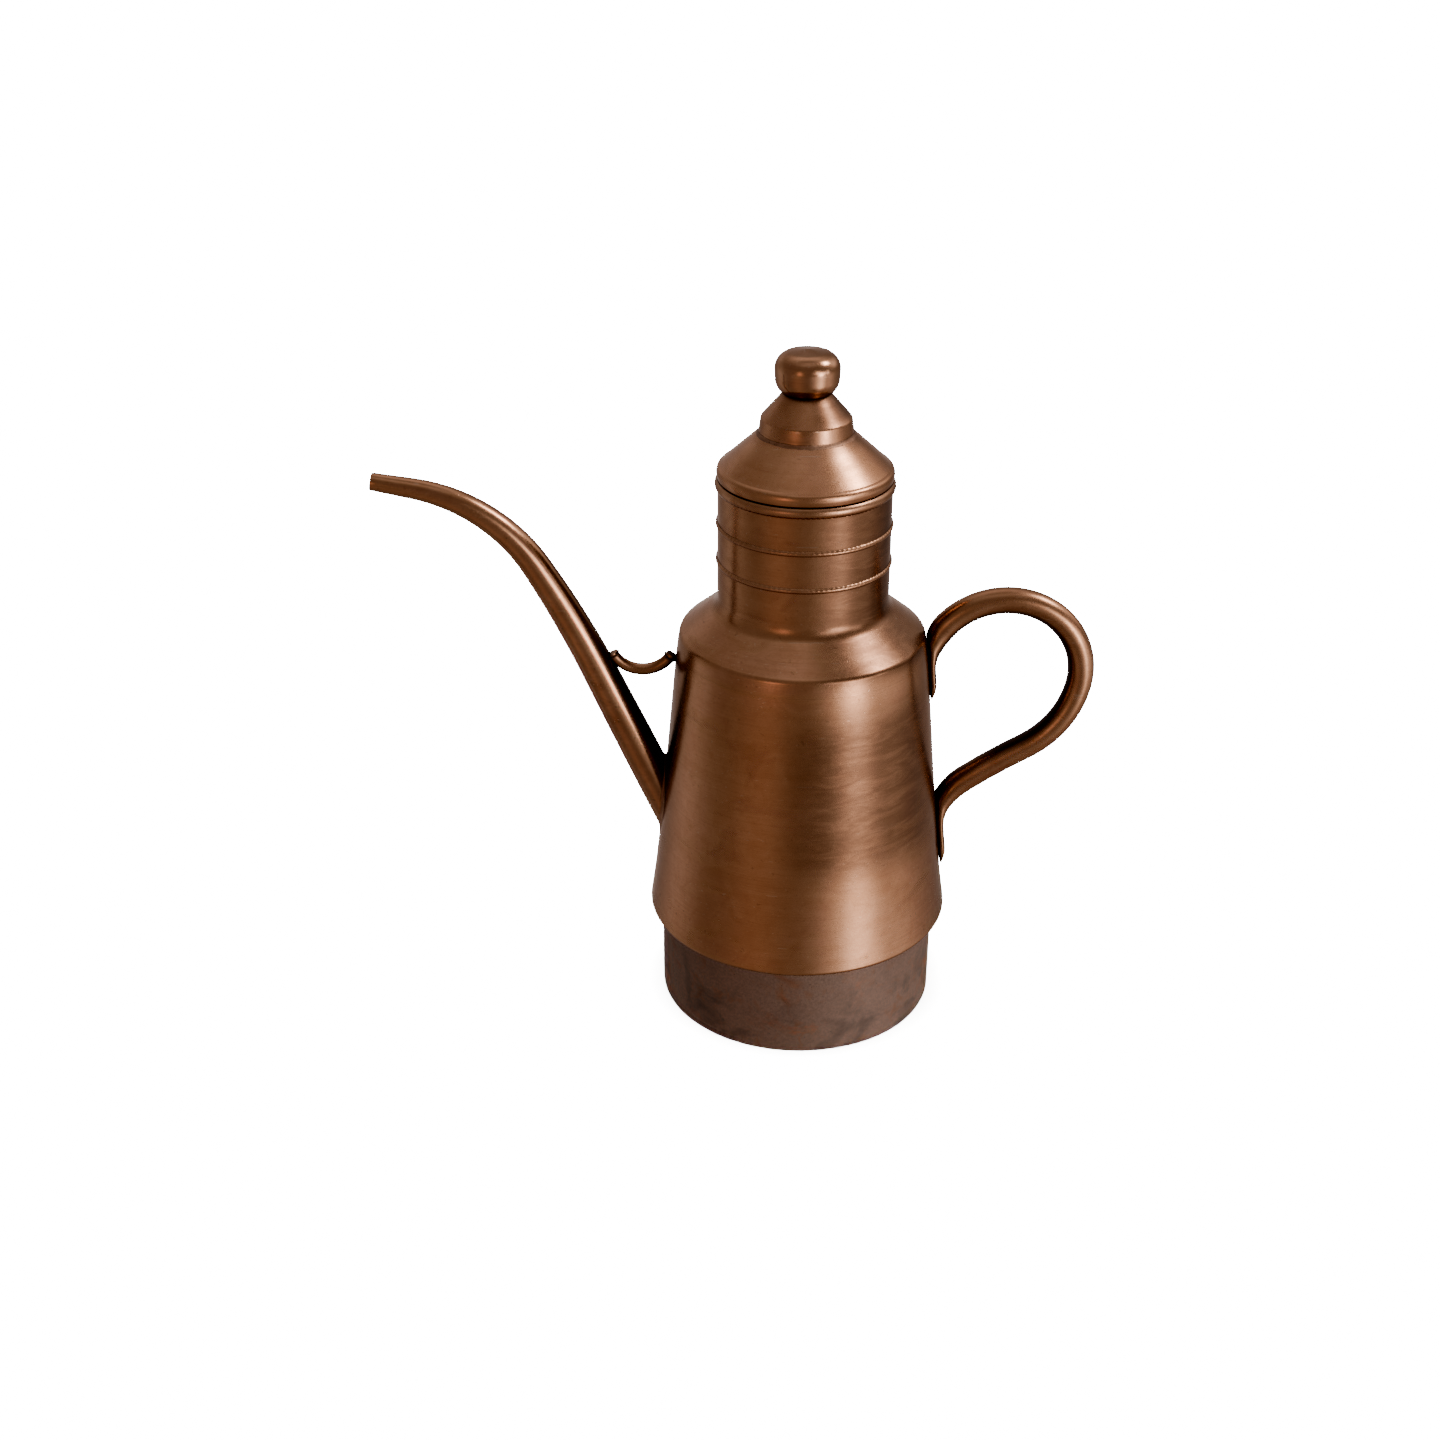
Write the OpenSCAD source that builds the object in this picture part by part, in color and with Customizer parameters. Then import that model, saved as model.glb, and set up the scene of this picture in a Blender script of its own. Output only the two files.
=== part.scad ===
// Sheet-copper coffee pot: a tapered body on a fire-stained foot, a straight neck with three
// bands, a long bent pipe spout with a bowed brace, an ear-shaped handle and a lift-off lid.
// Frame: the body's axis is Z, the foot stands on Z = 0, the spout points to -X, the handle to +X.

/* [Foot] */
// Outer radius of the foot
foot_r = 60; // [57:0.5:62]
// Height of the foot below the body's lower edge
foot_h = 41.8; // [38:0.2:44]

/* [Body] */
// How far the body's lower edge stands out past the foot
ledge_w = 5.4; // [4:0.1:7]
// Height of the wall, from its lower edge to the shoulder's edge
wall_h = 130.8; // [128:0.2:134]
// Radius at the shoulder's edge
shoulder_r = 52; // [51:0.1:53]
// Height of the sloping shoulder
shoulder_h = 12.7; // [10:0.1:16]
// Extra radius that the wall flares by at its lower edge
flare = 1.4; // [0:0.1:2]
// Thickness of the sheet copper
sheet = 1.0; // [0.8:0.1:1.2]

/* [Neck] */
// Outer radius of the neck
neck_r = 35.6; // [34:0.1:36.2]
// Height of the neck, from the shoulder to the mouth
neck_h = 54.3; // [50:0.1:58]
// How far the thin bands stand out from the neck
band_w = 0.65; // [0.4:0.05:1]
// Height of each thin band
band_h = 2.2; // [1.6:0.1:3]
// How far the rim band stands out from the neck
rim_w = 1.1; // [1.05:0.05:1.5]
// Height of the rim band
rim_h = 4.2; // [3:0.1:5]

/* [Spout] */
// Outer radius of the pipe where it leaves the body
spout_root_r = 8.2; // [7.6:0.1:8.6]
// Outer radius at the tip
spout_tip_r = 3.7; // [3.4:0.1:4.2]
// Lean of the straight lower part, in degrees from upright
spout_lean = 24; // [23:0.5:25]
// Length of the straight lower part
spout_run = 64; // [60:1:68]
// Bend radius of the slow middle bend
slow_bend_r = 440; // [400:5:480]
// Angle that the slow bend turns through
slow_bend = 7; // [5:0.5:9]
// Bend radius of the upper bend
top_bend_r = 72; // [66:1:78]
// Angle that the upper bend turns through
top_bend = 48.5; // [44:0.5:52]
// Length of the straight tip
tip_run = 17; // [14:1:21]

/* [Brace] */
// Radius of the brace rod
brace_r = 2.5; // [2:0.1:3]
// Bend radius of the brace
brace_bend_r = 14.5; // [14:0.1:15.5]

/* [Handle] */
// Radius of the handle rod
grip_r = 5.6; // [5:0.1:6.2]
// Bend radius of the crown of the handle
crown_r = 33; // [32:0.5:34]
// Bend radius of the back of the handle
back_r = 43; // [42:0.5:44]
// Thickness of the hammered tabs
tab_t = 3.1; // [2.4:0.1:3.6]
// Half the width of the hammered tabs
tab_w = 6.4; // [5.8:0.1:7]

/* [Lid] */
// Radius of the lid's folded edge
lid_r = 36.1; // [35.6:0.1:36.6]
// Height of the lid's folded edge
lid_edge_h = 5.2; // [4.5:0.1:6]
// Height of the lid's cone above its edge
lid_cone_h = 13.8; // [12:0.1:15]
// Depth that the collar reaches into the neck
collar_h = 15; // [10:0.5:20]
// Clearance round the collar in the neck
collar_gap = 0.4; // [0.3:0.05:0.6]
// Radius of the cap's band
cap_r = 19.3; // [18:0.1:20]
// Height of the cap's band
cap_band_h = 6.2; // [5:0.1:8]
// Height of the cap's cone
cap_cone_h = 10.5; // [9:0.1:12]
// Greatest radius of the knob
knob_r = 13; // [12:0.1:14]
// Height of the knob
knob_h = 17; // [16.5:0.1:19]

/* [Hidden] */
$fn = 96;

seam = 0.05;                 // solder film between two pieces that are joined
corner_steps = 6;            // straight lines that make up one rounded corner
upright = [90, 0, 0];        // turns a flat drawing to stand in the X-Z plane

// Levels
shoulder_z = foot_h + wall_h;
neck_z = shoulder_z + shoulder_h;
mouth_z = neck_z + neck_h;
lid_gap = 0.4;
lid_z = mouth_z + lid_gap;
cone_z = lid_z + lid_edge_h;
cap_z = cone_z + lid_cone_h;
cap_corner_z = cap_z + cap_band_h;
cap_top_z = cap_corner_z + cap_cone_h;

// Body
base_r = foot_r + ledge_w;
lip_r = 1.6;                 // rounding of the body's lower edge
tuck = 5;                    // how far the foot reaches up inside the body
flare_h = 45;                // height over which the wall flares
lap = 6;                     // lap of the shoulder's skirt inside the wall
lap_t = 0.8;
step_h = 2;                  // height over which the shoulder and its skirt are one
joint_z = shoulder_z - 7;    // where the wall ends and the shoulder's skirt is flush with it
wall_steps = 14;
floor_t = 1.5;
pan_flange = 8;

// Neck bands, measured down from the mouth
band_drops = [34.7, 18.9];

// Strainer
strainer_t = 0.8;
strainer_gap = 0.2;
strainer_half_w = 12;
strainer_half_h = 24;
strain_hole_r = 1.2;
strain_pitch = 4.6;

// Lid
collar_t = 0.9;
collar_r = neck_r - sheet - collar_gap;
fold_t = lid_r - collar_r - seam;   // thickness of the lid's folded edge
fold_in = 1.5;               // how far the fold leans in at its top
cap_seat_r = cap_r - sheet - 0.45;
cap_top_r = 9.3;
cap_lean = 0.9;              // how much narrower the cap's band is at its top
stem_r = 2.5;
stem_in_knob = 9;
washer_r = 7;
washer_t = 1.2;
peen_r = 4;
peen_h = 1.8;

// ---- Lines and corners -------------------------------------------------------------------

function unit(v) = v / norm(v);
function cross_z(a, b) = a[0] * b[1] - a[1] * b[0];
function around(centre, radius, angle) = centre + radius * [cos(angle), sin(angle)];

// Points that round the corner at b, between a and c, to the radius r
function round_corner(a, b, c, r) =
    let (u = unit(a - b),
         v = unit(c - b),
         half = acos(u * v) / 2,
         centre = b + unit(u + v) * r / sin(half),
         turn = (180 - 2 * half) * sign(cross_z(b - a, c - b)),
         first = atan2(b[1] + u[1] * r / tan(half) - centre[1],
                       b[0] + u[0] * r / tan(half) - centre[0]))
    [for (i = [0:corner_steps]) around(centre, r, first + turn * i / corner_steps)];

// A line through [radius, height, corner rounding] entries, with its corners rounded
function rounded(line) =
    [for (i = [0:len(line) - 1])
        let (here = [line[i][0], line[i][1]])
        each (line[i][2] > 0
              ? round_corner([line[i - 1][0], line[i - 1][1]], here,
                             [line[i + 1][0], line[i + 1][1]], line[i][2])
              : [here])];

function side(a, b) = let (d = unit(b - a)) [-d[1], d[0]];

// The same line moved sideways by t, to its left
function shifted(line, t) =
    [for (i = [0:len(line) - 1])
        let (before = side(line[max(i - 1, 0)], line[max(i, 1)]),
             after = side(line[min(i, len(line) - 2)], line[min(i + 1, len(line) - 1)]))
        line[i] + t * (before + after) / (1 + before * after)];

function reversed(line) = [for (i = [len(line) - 1:-1:0]) line[i]];

// A round sheet-metal piece: a line of its outside, and the thickness to its left
module spun(line, thickness) {
    rotate_extrude() polygon(concat(line, reversed(shifted(line, thickness))));
}

module ring(inner, outer, height) {
    difference() {
        cylinder(r = outer, h = height);
        translate([0, 0, -1]) cylinder(r = inner, h = height + 2);
    }
}

// ---- Body wall ---------------------------------------------------------------------------

function flare_at(z) = z < foot_h + flare_h ? pow(1 - (z - foot_h) / flare_h, 2) * flare : 0;

// Outer radius of the wall at a height
function wall_r(z) =
    shoulder_r + (base_r - flare - shoulder_r) * (shoulder_z - z) / wall_h + flare_at(z);

function wall_line(from_z, to_z, steps = wall_steps) =
    [for (i = [0:steps])
        let (z = from_z + (to_z - from_z) * i / steps)
        [wall_r(z), z]];

// Angle of the wall to upright, between two heights
function wall_lean(low_z, high_z) = atan2(wall_r(low_z) - wall_r(high_z), high_z - low_z);

lip_z = foot_h + 2 * lip_r;
wall_outline = concat(
    rounded([[foot_r + seam, foot_h, 0], [base_r, foot_h, lip_r], [wall_r(lip_z), lip_z, 0]]),
    wall_line(lip_z + 1, joint_z));

module wall_inside() {
    rotate_extrude() polygon(concat([[0, foot_h - tuck]], [[base_r - 4, foot_h - tuck]],
        shifted(wall_line(foot_h, shoulder_z), sheet), [[0, shoulder_z]]));
}

module wall_outside() {
    rotate_extrude() polygon(concat([[0, foot_h]],
        shifted(wall_line(foot_h, shoulder_z - 2), -seam), [[0, shoulder_z - 2]]));
}

module floor_pan() {
    color("#6b4a35") difference() {
        cylinder(r = foot_r - sheet - seam, h = pan_flange);
        translate([0, 0, floor_t]) cylinder(r = foot_r - 2 * sheet - seam, h = pan_flange);
    }
}

module foot_ring() {
    color("#4a3026") ring(foot_r - sheet, foot_r, foot_h + tuck);
}

module body_wall() {
    color("#8a5230") difference() {
        spun(wall_outline, sheet);
        along_spout_root() cylinder(r = spout_root_r + seam, h = root_h);
    }
}

// The skirt laps inside the wall, then the shoulder comes flush with it, rises and turns into
// the neck
neck_outline = rounded([
    [wall_r(joint_z), joint_z + seam, 0],
    [shoulder_r, shoulder_z, 3.5],
    [neck_r, neck_z, 3.5],
    [neck_r, mouth_z, 0]]);

module shoulder_neck() {
    color("#8a5230") {
        spun(neck_outline, sheet);
        // the skirt, and the step that joins it to the shoulder
        spun(shifted(wall_line(joint_z - lap, joint_z + step_h, 3), sheet + seam), lap_t);
        spun(shifted(wall_line(joint_z + step_h / 4, joint_z + step_h * 5 / 4, 1), sheet / 2),
             sheet / 2 + seam + lap_t / 2);
    }
}

// A half-round band soldered round the neck, its lower edge at a height
module neck_band(low_z, height, width) {
    inner = neck_r + seam;
    sphere_r = (pow(height / 2, 2) + pow(width, 2)) / (2 * width);
    rotate_extrude() intersection() {
        translate([inner, low_z]) square([width, height]);
        translate([inner + width - sphere_r, low_z + height / 2]) circle(r = sphere_r);
    }
}

module neck_band_lower() {
    color("#7a482b") neck_band(mouth_z - band_drops[0] - band_h / 2, band_h, band_w);
}

module neck_band_upper() {
    color("#7a482b") neck_band(mouth_z - band_drops[1] - band_h / 2, band_h, band_w);
}

module rim_band() {
    color("#7a482b") rotate_extrude() polygon(rounded([
        [neck_r + seam, mouth_z - rim_h, 0],
        [neck_r + rim_w, mouth_z - rim_h, 0.9],
        [neck_r + rim_w, mouth_z, 1],
        [neck_r + seam, mouth_z, 0]]));
}

// ---- Bent rods and pipes -----------------------------------------------------------------

// A section is [left, right, half width]: the two points where the rod crosses the X-Z plane,
// left and right of its line of travel, and half its width across that plane

// A section of a round rod, where lean turns from up towards -X
function round_section(centre, lean, radius) =
    let (across = radius * [cos(lean), sin(lean)])
    [centre - across, centre + across, radius];

function section_ring(section, ring_sides) =
    let (middle = (section[0] + section[1]) / 2,
         half = (section[1] - section[0]) / 2)
    [for (k = [0:ring_sides - 1])
        let (a = 360 * k / ring_sides)
        [middle[0] + half[0] * cos(a), section[2] * sin(a), middle[1] + half[1] * cos(a)]];

// The solid swept through a list of sections
module swept(sections, ring_sides) {
    rings = len(sections);
    points = [for (section = sections) each section_ring(section, ring_sides)];
    low_end = [for (k = [0:ring_sides - 1]) k];
    high_end = [for (k = [ring_sides - 1:-1:0]) (rings - 1) * ring_sides + k];
    walls = [for (i = [0:rings - 2], k = [0:ring_sides - 1])
        let (next = (k + 1) % ring_sides)
        [i * ring_sides + k, (i + 1) * ring_sides + k,
         (i + 1) * ring_sides + next, i * ring_sides + next]];
    polyhedron(points, concat([low_end], walls, [high_end]), convexity = 6);
}

// ---- Spout -------------------------------------------------------------------------------

// The spout's line, in [x, z], starts on the wall and is measured along its length
spout_sides = 32;
spout_start = [-59.3, 95];
root_back = 28;              // how far the pipe is drawn back inside the body, before it is cut
root_h = 60;
slow_run = slow_bend_r * slow_bend * PI / 180;
top_run = top_bend_r * top_bend * PI / 180;
slow_from = spout_run;
top_from = slow_from + slow_run;
tip_from = top_from + top_run;
spout_length = tip_from + tip_run;
bend_step = 5;               // distance between rings of the bent pipe

function heading(lean) = [-sin(lean), cos(lean)];

// Step along a bend of radius r that starts at one lean and turns by an angle
function bend_chord(r, lean, turn) = 2 * r * sin(turn / 2) * heading(lean + turn / 2);

function spout_lean_at(s) =
    spout_lean
    + slow_bend * min(max((s - slow_from) / slow_run, 0), 1)
    + top_bend * min(max((s - top_from) / top_run, 0), 1);

function spout_at(s) =
    spout_start
    + min(s, slow_from) * heading(spout_lean)
    + bend_chord(slow_bend_r, spout_lean, spout_lean_at(min(s, top_from)) - spout_lean)
    + bend_chord(top_bend_r, spout_lean + slow_bend,
                 max(spout_lean_at(s) - spout_lean - slow_bend, 0))
    + max(s - tip_from, 0) * heading(spout_lean + slow_bend + top_bend);

// The pipe tapers faster towards its tip
taper_power = 1.6;
function spout_r_at(s) =
    spout_root_r - (spout_root_r - spout_tip_r) * pow(max(s, 0) / spout_length, taper_power);

bend_count = ceil((tip_from - slow_from) / bend_step);
spout_stations = concat([-root_back, 0, slow_from / 2],
    [for (i = [0:bend_count]) slow_from + (tip_from - slow_from) * i / bend_count],
    [spout_length]);

// Sections of the pipe, inset by a wall thickness and run past both ends by an overrun
function spout_sections(inset, overrun) =
    [for (i = [0:len(spout_stations) - 1])
        let (last = len(spout_stations) - 1,
             past = i == 0 ? -overrun : i == last ? overrun : 0,
             s = spout_stations[i])
        round_section(spout_at(s + past), spout_lean_at(s), spout_r_at(s) - inset)];

module along_spout_root() {
    back = spout_at(-root_back);
    translate([back[0], 0, back[1]]) rotate([0, -spout_lean, 0]) children();
}

module spout_tube() {
    color("#8a5230") difference() {
        swept(spout_sections(0, 0), spout_sides);
        swept(spout_sections(sheet, 1), spout_sides);
        wall_inside();
    }
}

module spout_strainer() {
    inner = shifted(wall_line(spout_start[1] - strainer_half_h, spout_start[1] + strainer_half_h,
                              2), sheet + strainer_gap);
    rise = strain_pitch * sqrt(3) / 2;
    rows = floor((strainer_half_h - 4) / rise);
    columns = floor((strainer_half_w - 3) / strain_pitch);
    color("#7a482b") difference() {
        spun(inner, strainer_t);
        // keep only the patch that faces the spout
        difference() {
            translate([0, 0, spout_start[1]]) cube([4 * foot_r, 4 * foot_r, 4 * strainer_half_h],
                                                   center = true);
            translate([0, 0, spout_start[1]]) rotate([0, -90, 0])
                linear_extrude(foot_r) strainer_patch();
        }
        for (i = [-rows:rows], j = [-columns:columns])
            translate([0, (j + (i % 2 == 0 ? 0 : 0.5)) * strain_pitch, spout_start[1] + i * rise])
                rotate([0, -90, 0]) cylinder(r = strain_hole_r, h = foot_r, $fn = 24);
    }
}

// Outline of the strainer: a slot shape with round ends, in [height, width]
module strainer_patch() {
    straight = strainer_half_h - strainer_half_w;
    square([2 * straight, 2 * strainer_half_w], center = true);
    for (end = [-1, 1])
        translate([end * straight, 0]) circle(r = strainer_half_w);
}

brace_centre = [-67, 168.4];
brace_from = -156;
brace_sweep = 131;
brace_s = 6;                 // how far past the straight part of the spout the brace meets it
cope_h = 30;

module spout_brace() {
    beside = spout_at(spout_run + brace_s);
    color("#6b4028") difference() {
        translate([brace_centre[0], 0, brace_centre[1]]) rotate(upright) rotate(brace_from)
            rotate_extrude(angle = brace_sweep)
                translate([brace_bend_r, 0]) circle(r = brace_r, $fn = 48);
        // coped round the spout and against the wall
        translate([beside[0], 0, beside[1]]) rotate([0, -spout_lean_at(spout_run + brace_s), 0])
            cylinder(r1 = spout_r_at(spout_run + brace_s - cope_h / 2) + seam,
                     r2 = spout_r_at(spout_run + brace_s + cope_h / 2) + seam,
                     h = cope_h, center = true);
        wall_outside();
    }
}

// ---- Handle ------------------------------------------------------------------------------

// The handle's line runs from the upper tab, over the crown, down the back and along the arm
crown_centre = [85.1, 152.6];
crown_start = 140.2;         // angle round the crown's centre where the crown meets the upper end
crown_sweep = 150;
back_sweep = 51;
arm_bend_r = 240;
arm_sweep = 7;
crown_end = crown_start - crown_sweep;
back_centre = around(crown_centre, crown_r - back_r, crown_end);
back_end = crown_end - back_sweep;
arm_centre = around(back_centre, back_r + arm_bend_r, back_end);
arm_start = back_end + 180;
arm_end = arm_start + arm_sweep;

handle_sides = 32;
rod_turn = 6;                // degrees between two rings of a bend
end_steps = 9;               // rings in which the rod goes over to a tab
lying_part = 0.45;           // the part of them in which the rod still lies on the wall
turn_part = 0.45;            // how early, past there, the inner edge takes the rod's way
upper_tab = [155, 142];      // top and tip of the upper tab
lower_tab = [61.5, 78];      // tip and top of the lower tab
upper_leave_z = 169.5;       // where the rod's inner edge leaves the wall at the upper end
lower_leave_z = 94;          // and at the lower end
tab_tip = 6;                 // length of the tab's tapered tip
tip_t = 1;                   // its thickness there

// Sections round a bend; outer is 1 where the rod's left is its outer side, and -1 otherwise
function bend_sections(centre, radius, from_angle, sweep, outer) =
    let (steps = ceil(abs(sweep) / rod_turn) + 1)
    [for (i = [0:steps])
        let (a = from_angle + sweep * i / steps)
        [around(centre, radius + outer * grip_r, a), around(centre, radius - outer * grip_r, a),
         grip_r]];

// A point on the wall at a height, stood off by a distance
function on_wall(z, off) = [wall_r(z) + seam + off, z];

// Where two lines meet, each given by a point and a direction
function meet(p, dp, q, dq) = p + dp * cross_z(q - p, dq) / cross_z(dp, dq);

// A smooth curve from p to q that starts and ends along the lines to the corner
function curve(p, corner, q, t) = p * pow(1 - t, 2) + corner * 2 * t * (1 - t) + q * pow(t, 2);

// Sections in which a tab on the wall goes over to the round rod. The outer edge, numbered out,
// bends away from the wall; the inner edge lies on the wall up to leave_z
function end_sections(tab, rod, out, leave_z, tab_way, rod_way) =
    let (inner = 1 - out,
         leave = on_wall(leave_z, 0),
         corner = rod[inner] - rod_way * norm(rod[inner] - leave) * turn_part)
    [for (i = [1:end_steps - 1])
        let (t = i / end_steps,
             lift = (t - lying_part) / (1 - lying_part),
             far = curve(tab[out], meet(tab[out], tab_way, rod[out], rod_way), rod[out], t),
             near = lift < 0
                 ? on_wall(tab[inner][1] + (leave_z - tab[inner][1]) * t / lying_part, 0)
                 : curve(leave, corner, rod[inner], lift),
             half_w = tab_w + (grip_r - tab_w) * t)
        out == 1 ? [near, far, half_w] : [far, near, half_w]];

function upper_section(z, thickness) = [on_wall(z, 0), on_wall(z, thickness), tab_w];
function lower_section(z, thickness) = [on_wall(z, thickness), on_wall(z, 0), tab_w];

crown = bend_sections(crown_centre, crown_r, crown_start, -crown_sweep, 1);
back = bend_sections(back_centre, back_r, crown_end, -back_sweep, 1);
arm = bend_sections(arm_centre, arm_bend_r, arm_start, arm_sweep, -1);
upper_root = upper_section(upper_tab[0], tab_t);
lower_root = lower_section(lower_tab[1], tab_t);
upper_way = heading(wall_lean(upper_tab[1], upper_tab[0]));
lower_way = heading(wall_lean(lower_tab[0], lower_tab[1]));
rod_end = arm[len(arm) - 1];

handle_sections = concat(
    [upper_section(upper_tab[1], tip_t), upper_section(upper_tab[1] + tab_tip, tab_t), upper_root],
    end_sections(upper_root, crown[0], 1, upper_leave_z, upper_way,
                 around([0, 0], 1, crown_start - 90)),
    crown,
    [for (i = [1:len(back) - 1]) back[i]],
    [for (i = [1:len(arm) - 1]) arm[i]],
    reversed(end_sections(lower_root, rod_end, 0, lower_leave_z, lower_way,
                          around([0, 0], 1, arm_end - 90))),
    [lower_root, lower_section(lower_tab[0] + tab_tip, tab_t),
     lower_section(lower_tab[0], tip_t)]);

module handle() {
    color("#7a482b") swept(handle_sections, handle_sides);
}

// ---- Lid ---------------------------------------------------------------------------------

// Height of the lid's cone at a radius
cone_slope = lid_cone_h / (lid_r - fold_in - cap_r);
function cone_height(r) = cap_z + (cap_r - r) * cone_slope;

module lid_cone() {
    color("#8a5230") {
        // folded edge
        rotate_extrude() polygon(concat(
            rounded([
                [lid_r - fold_t, lid_z, 0],
                [lid_r - 0.3, lid_z, 0.8],
                [lid_r + 0.1, lid_z + lid_edge_h / 2, 1.5],
                [lid_r - fold_in, cone_z, 0]]),
            [[lid_r - fold_in - sheet, cone_z - 0.4], [lid_r - fold_t, cone_z - 1.6]]));
        // cone and the short upstand inside the cap's band
        spun(rounded([
            [lid_r - fold_in, cone_z - 0.2, 0],
            [cap_seat_r, cone_height(cap_seat_r), 0.6],
            [cap_seat_r - 0.45, cap_z + 4, 0]]), sheet);
    }
}

module lid_collar() {
    top_z = cone_z - 1.9;
    color("#7a482b") translate([0, 0, mouth_z - collar_h])
        ring(collar_r - collar_t, collar_r, top_z - mouth_z + collar_h);
}

module lid_cap() {
    color("#8a5230") difference() {
        spun(rounded([
            [cap_r, cap_z - 1, 0],
            [cap_r - cap_lean, cap_corner_z, 2.2],
            [cap_top_r, cap_top_z, 1.5],
            [stem_r + seam, cap_top_z, 0]]), sheet);
        // its edge follows the slope of the cone that it sits on
        rotate_extrude() polygon([
            [0, cap_z - 2],
            [cap_r + 2, cap_z - 2],
            [cap_r + 2, cone_height(cap_r + 2) + seam],
            [0, cone_height(0) + seam]]);
    }
}

knob_z = cap_top_z + seam;
knob_top_z = knob_z + knob_h;
knob_outline = rounded([
    [0, knob_z - 1.9, 0],
    [knob_r - 5.5, knob_z - 1.9, 0],
    [knob_r - 0.2, knob_z + 1.1, 8],
    [knob_r + 0.4, knob_top_z - 1.7, 6.8],
    [0, knob_top_z, 0]]);

module knob() {
    color("#9a6238") difference() {
        // its underside is cut flat where it sits on the cap
        rotate_extrude() intersection() {
            polygon(knob_outline);
            translate([0, knob_z]) square([2 * knob_r, knob_h]);
        }
        translate([0, 0, knob_z - 1]) cylinder(r = stem_r, h = stem_in_knob + 1);
    }
}

washer_z = cap_top_z - sheet - seam - washer_t;

module knob_stem() {
    color("#a9754a") {
        translate([0, 0, washer_z - peen_h])
            cylinder(r = stem_r - seam, h = knob_z + stem_in_knob - seam - washer_z + peen_h);
        // peened end
        translate([0, 0, washer_z - peen_h])
            cylinder(r1 = peen_r / 2, r2 = peen_r, h = peen_h - seam);
    }
}

module knob_washer() {
    color("#a9754a") translate([0, 0, washer_z]) ring(stem_r, washer_r, washer_t);
}

floor_pan();
foot_ring();
body_wall();
shoulder_neck();
neck_band_lower();
neck_band_upper();
rim_band();
spout_tube();
spout_strainer();
spout_brace();
handle();
lid_cone();
lid_collar();
lid_cap();
knob();
knob_stem();
knob_washer();
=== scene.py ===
"""Copper coffee pot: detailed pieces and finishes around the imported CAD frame.

Lengths are millimetres in the pieces' shapes, and turn into metres when a mesh is made. In the
section on floor, light and camera, and in distances within materials, they are metres.
The frame is the CAD model's: +Z up, the foot on Z = 0, the spout to -X, the handle to +X.
"""
import math

import bmesh
import bpy
import numpy as np
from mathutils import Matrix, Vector, noise


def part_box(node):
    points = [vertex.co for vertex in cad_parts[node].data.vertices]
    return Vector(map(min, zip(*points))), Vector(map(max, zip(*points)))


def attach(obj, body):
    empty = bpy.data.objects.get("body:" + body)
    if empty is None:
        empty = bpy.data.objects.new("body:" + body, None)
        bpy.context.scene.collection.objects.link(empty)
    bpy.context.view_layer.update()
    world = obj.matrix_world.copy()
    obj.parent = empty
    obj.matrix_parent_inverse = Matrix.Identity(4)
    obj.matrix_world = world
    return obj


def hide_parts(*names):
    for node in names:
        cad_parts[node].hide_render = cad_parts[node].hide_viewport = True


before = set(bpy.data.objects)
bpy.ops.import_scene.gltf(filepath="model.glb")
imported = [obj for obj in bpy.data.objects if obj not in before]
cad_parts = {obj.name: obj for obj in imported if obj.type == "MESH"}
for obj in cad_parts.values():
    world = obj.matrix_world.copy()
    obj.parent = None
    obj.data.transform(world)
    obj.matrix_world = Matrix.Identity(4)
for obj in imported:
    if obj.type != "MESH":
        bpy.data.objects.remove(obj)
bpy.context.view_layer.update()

MM = 0.001


def low(node):
    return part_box(node)[0] / MM


def high(node):
    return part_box(node)[1] / MM


# ---- Sizes ------------------------------------------------------------------------------------
# Levels and radii come from the CAD nodes' boxes; the rest repeats the CAD's own values

SHEET = 1.0
SEAM = 0.05
FOOT_R = high("foot_ring").x
FOOT_TOP = high("foot_ring").z
FOOT_H = low("body_wall").z
BASE_R = 65.4
SKIRT_H = 7
JOINT_Z = high("body_wall").z
SHOULDER_Z = JOINT_Z + SKIRT_H
SHOULDER_R = 52.0
FLARE = 1.4
FLARE_H = 45.0
TUCK = 0.55
TUCK_H = 14.0
NECK_R = 35.6
SHOULDER_H = 12.7
NECK_Z = SHOULDER_Z + SHOULDER_H
MOUTH_Z = high("shoulder_neck").z
LID_Z = low("lid_cone").z
LID_EDGE_H = 5.2
LID_CONE_H = 13.8
CONE_Z = LID_Z + LID_EDGE_H
LID_R = high("lid_cone").x
CAP_Z = CONE_Z + LID_CONE_H
CAP_R = 19.3
CAP_BAND_H = 6.2
CAP_CORNER_Z = CAP_Z + CAP_BAND_H
CAP_TOP_Z = high("lid_cap").z
KNOB_Z = low("knob").z
KNOB_TOP_Z = high("knob").z
KNOB_R = 13.0
COLLAR_R = high("lid_collar").x
COLLAR_T = 0.9
COLLAR_DROP = 15


# ---- Outlines ---------------------------------------------------------------------------------

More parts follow.
